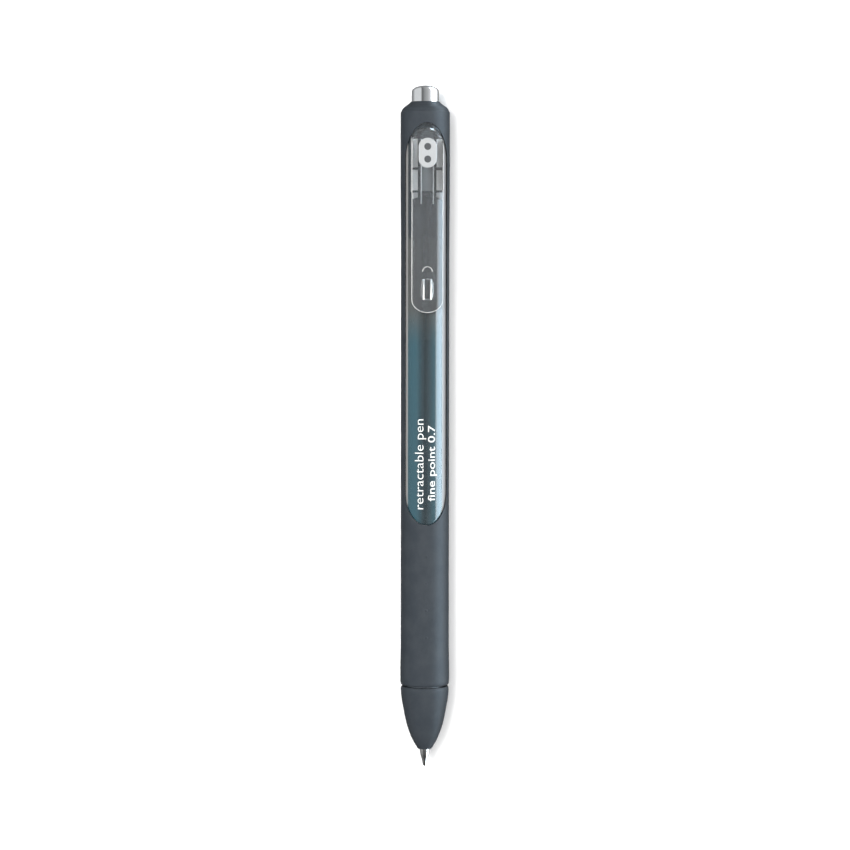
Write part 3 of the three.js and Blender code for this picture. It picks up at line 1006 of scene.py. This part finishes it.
def makeRefillEnds():
    low, high = span("refill_end_plug")
    plug = rounded([(0.5, low, 0), (2.6, low, 0.15), (2.68, 108.55, 0), (3.0, 108.55, 0.08),
                    (3.0, high, 0.3), (0.5, high, 0.1)])
    fit(finishMesh(spun(plug), "refillEndPlug", tubePlastic), "refill", "refill_plastic", "refill_end_plug")
    low, high = span("tip_holder")
    holder = rounded([(1.12, low, 0), (1.6, low, 0.1), (1.9, low + 0.5, 0.1), (1.9, 23, 0.1),
                      (3.05, 23, 0.1), (3.05, 23.45, 0.02), (2.65, 23.45, 0.02), (2.65, high, 0.2),
                      (1.12, high, 0.1)])
    fit(finishMesh(spun(holder), "tipHolder", tubePlastic), "refill", "refill_plastic", "tip_holder")
    low, high = span("metal_tip")
    tip = rounded([(0.3, low + 0.02, 0.02), (0.37, low, 0.04), (0.52, 0.9, 0.15), (0.64, 1.5, 0.2),
                   (0.9, 2.4, 0.3), (1.1, 3.6, 0.4), (1.1, high, 0.1), (0.5, high, 0.1), (0.5, 2.4, 0.2),
                   (0.15, 1.6, 0.1), (0.15, 0.85, 0), (0.3, 0.62, 0)])
    fit(finishMesh(spun(tip), "metalTip", nickel), "refill", "nickel_silver", "metal_tip")
    low, high = span("tip_ball")
    bm = bmesh.new()
    bmesh.ops.create_uvsphere(bm, u_segments=48, v_segments=32, radius=(high - low) / 2)
    bmesh.ops.translate(bm, vec=(0, (high + low) / 2, 0), verts=bm.verts)
    fit(finishMesh(bm, "tipBall", tungsten), "ball", "tungsten_carbide", "tip_ball")


makeSpring()
makeRefill()
makeRefillEnds()
print("refill made")


printShape = {"radius": 4.958, "sunk": 0.012, "thick": 0.012, "cut": 0.25, "cutTo": 3}
printLines = [
    {"name": "printUpper", "words": "retractable pen", "size": 2.6, "across": -0.65, "low": 54.7,
     "high": 73.5, "offset": -0.02},
    {"name": "printLower", "words": "fine point 0.7", "size": 2.1, "across": 1.75, "low": 56.4,
     "high": 72.2, "offset": 0.015}]


def makePrint(line):
    # words laid along the pen, cut into strips so that they bend round the land
    curve = bpy.data.curves.new(line["name"], "FONT")
    curve.body = line["words"]
    curve.size = line["size"]
    curve.resolution_u = 4
    curve.offset = line["offset"]
    holder = bpy.data.objects.new(line["name"] + "Text", curve)
    bpy.context.scene.collection.objects.link(holder)
    bpy.context.view_layer.update()
    flat = holder.evaluated_get(bpy.context.evaluated_depsgraph_get()).to_mesh()
    bm = bmesh.new()
    bm.from_mesh(flat)
    bpy.data.objects.remove(holder)
    lowest = min(v.co.x for v in bm.verts)
    length = max(v.co.x for v in bm.verts) - lowest
    stretch = (line["high"] - line["low"]) / length
    bmesh.ops.remove_doubles(bm, verts=bm.verts, dist=0.0005)
    for vert in bm.verts:
        x, y = vert.co.x, vert.co.y
        vert.co = Vector((line["across"] - y, line["low"] + (x - lowest) * stretch, 0))
    reach = printShape["radius"]
    cut = printShape["cut"]
    cuts = round(printShape["cutTo"] / cut)
    for k in range(-cuts, cuts):
        bmesh.ops.bisect_plane(bm, geom=bm.verts[:] + bm.edges[:] + bm.faces[:], dist=0.0001,
                               plane_co=(k * cut, 0, 0), plane_no=(1, 0, 0))
    bmesh.ops.triangulate(bm, faces=bm.faces[:])
    raised = bmesh.ops.extrude_face_region(bm, geom=bm.faces[:])
    for vert in [v for v in raised["geom"] if isinstance(v, bmesh.types.BMVert)]:
        vert.co.z += printShape["thick"]
    for vert in bm.verts:
        vert.co.z += math.sqrt(reach ** 2 - vert.co.x ** 2) - printShape["sunk"]
    fit(finishMesh(bm, line["name"], whitePrint), "barrel", "badge_silver")


nibShape = {"count": 5, "first": 22.1, "step": 5.68, "radius": 0.28, "proud": 0.07, "on": 5.06}


def makeNibs():
    # a row of low domes down the front of the grip
    shape = nibShape
    bm = bmesh.new()
    for k in range(shape["count"]):
        dome = bmesh.ops.create_uvsphere(bm, u_segments=20, v_segments=12, radius=shape["radius"])["verts"]
        bmesh.ops.scale(bm, vec=(1, 1, shape["proud"] / shape["radius"]), verts=dome)
        bmesh.ops.translate(bm, vec=(0, shape["first"] + k * shape["step"], shape["on"]), verts=dome)
    fit(finishMesh(bm, "gripNibs", rubber), "barrel", "soft_rubber")


for line in printLines:
    makePrint(line)
makeNibs()
print("print and nibs made")


floorShape = {"size": 3, "drop": 0.0001, "shade": 0.9, "glow": (120, 500)}


def makeFloor():
    # pale, and brighter from the glow's first to its second distance, so it has no dark horizon
    bm = bmesh.new()
    bmesh.ops.create_grid(bm, x_segments=1, y_segments=1, size=floorShape["size"])
    mesh = bpy.data.meshes.new("floor")
    bm.to_mesh(mesh)
    bm.free()
    floor = bpy.data.objects.new("floor", mesh)
    floor.location.z = -floorShape["drop"]
    material, shader = newShader("paleFloor")
    x, y = shader.axes()[:2]
    away = x.math("SQRT", x * x + y * y).smooth(*floorShape["glow"])
    shader.surface(principled(shader, {
        "Base Color": grey(floorShape["shade"]),
        "Roughness": 0.9,
        "Specular IOR Level": 0.0,
        "Emission Color": shader.mixColour(away, grey(0), grey(1)),
        "Emission Strength": 1.0,
    }))
    mesh.materials.append(material)
    bpy.context.scene.collection.objects.link(floor)
    floor.visible_diffuse = False
    floor.visible_glossy = False
    floor.visible_transmission = False


lamps = {"key": {"place": (-0.28, 0.12, 0.62), "size": 0.26, "power": 4.8},
         "fill": {"place": (0.02, 0.0, 0.9), "size": 0.9, "power": 11.0}}


def addLamp(name, settings):
    light = bpy.data.lights.new(name, "AREA")
    light.shape = "SQUARE"
    light.size = settings["size"]
    light.energy = settings["power"]
    lamp = bpy.data.objects.new(name, light)
    lamp.location = settings["place"]
    lamp.rotation_euler = (-Vector(settings["place"])).to_track_quat("-Z", "Y").to_euler()
    lamp.visible_glossy = False
    lamp.visible_transmission = False
    bpy.context.scene.collection.objects.link(lamp)


def makeWorld():
    # softboxes to the left and right of the pen, as stops of angle from straight up towards +X
    stops = [(-180, 0.15), (-160, 0.2), (-118, 0.45), (-103, 0.7), (-41, 0.72), (-32, 0.18), (-23, 0.16),
             (-15, 0.27), (19, 0.48), (30, 0.6), (42, 0.85), (47, 1.0), (51, 6.5), (57, 14.0), (77, 17.0),
             (88, 11.0), (98, 5.5), (108, 2.2), (122, 0.6), (150, 0.3), (180, 0.15)]
    brightest = 18.0
    below = {"level": 0.3, "from": -0.4, "to": -0.72}
    inner = {"boost": 1.1, "clear": (14, 38), "towards": 4}
    tint = {"plain": (0.97, 0.985, 1, 1), "box": (0.70, 0.87, 1, 1), "from": (48, 62), "to": (84, 98)}
    world = bpy.data.worlds.new("studio")
    world.use_nodes = True
    shader = Shader(world.node_tree)
    direction = shader.node("ShaderNodeTexCoord", output="Generated")
    split = shader.node("ShaderNodeSeparateXYZ", None, {0: direction}).socket.node.outputs
    x, y, z = (Wire(shader, split[i]) for i in range(3))
    # the tilt of a surface that mirrors this direction upwards, doubled, so domes show the same bands
    degree = x.math("ARCTAN2", x, z + 1) * (360 / math.pi)
    share = degree * (1 / 360) + 0.5
    ramp = shader.node("ShaderNodeValToRGB", {"ramp": [
        ((degrees + 180) / 360, level / brightest) for degrees, level in stops]}, {0: share})
    level = ramp * y.smooth(-0.6, -0.15, 0.25, 1) * brightest
    under = z.smooth(below["to"], below["from"], 1, 0)
    level = level * (1 - under) + under * below["level"]
    # light that has come through clear plastic is stronger, as the lamps can't shine through it
    throughClear = shader.node("ShaderNodeLightPath", output="Is Transmission Ray")
    seen = shader.node("ShaderNodeLightPath", output="Is Camera Ray")
    aside = (degree - inner["towards"]).size().smooth(*inner["clear"])
    level = level + throughClear * aside * inner["boost"]
    level = level * (1 - seen) + seen
    boxSide = (degree.smooth(*tint["from"]) - degree.smooth(*tint["to"])) * (1 - seen)
    colour = shader.mixColour(boxSide, tint["plain"], tint["box"])
    back = shader.node("ShaderNodeBackground", None, {"Color": colour, "Strength": level})
    shader.node("ShaderNodeOutputWorld", None, {"Surface": back})
    bpy.context.scene.world = world
    world.cycles_visibility.diffuse = False


cameraShape = {"place": (-0.0425, 0.0315, 0.615), "target": (-0.00005, 0.0006, 0.006), "up": (-0.001, 1, 0),
               "lens": 123.5}


def makeCamera():
    camera = bpy.data.cameras.new("camera")
    camera.lens = cameraShape["lens"]
    camera.sensor_width = 36
    camera.clip_start = 0.01
    holder = bpy.data.objects.new("camera", camera)
    holder.location = cameraShape["place"]
    back = (Vector(cameraShape["place"]) - Vector(cameraShape["target"])).normalized()
    right = Vector(cameraShape["up"]).cross(back).normalized()
    holder.rotation_euler = Matrix((right, back.cross(right), back)).transposed().to_euler()
    bpy.context.scene.collection.objects.link(holder)
    bpy.context.scene.camera = holder


makeFloor()
for name, settings in lamps.items():
    addLamp(name, settings)
makeWorld()
makeCamera()
print("stage made")

scene = bpy.context.scene
scene.view_settings.view_transform = "Standard"
scene.cycles.use_denoising = True
scene.cycles.max_bounces = 20
scene.cycles.transmission_bounces = 18
scene.cycles.glossy_bounces = 8
scene.cycles.caustics_reflective = True
scene.cycles.caustics_refractive = True
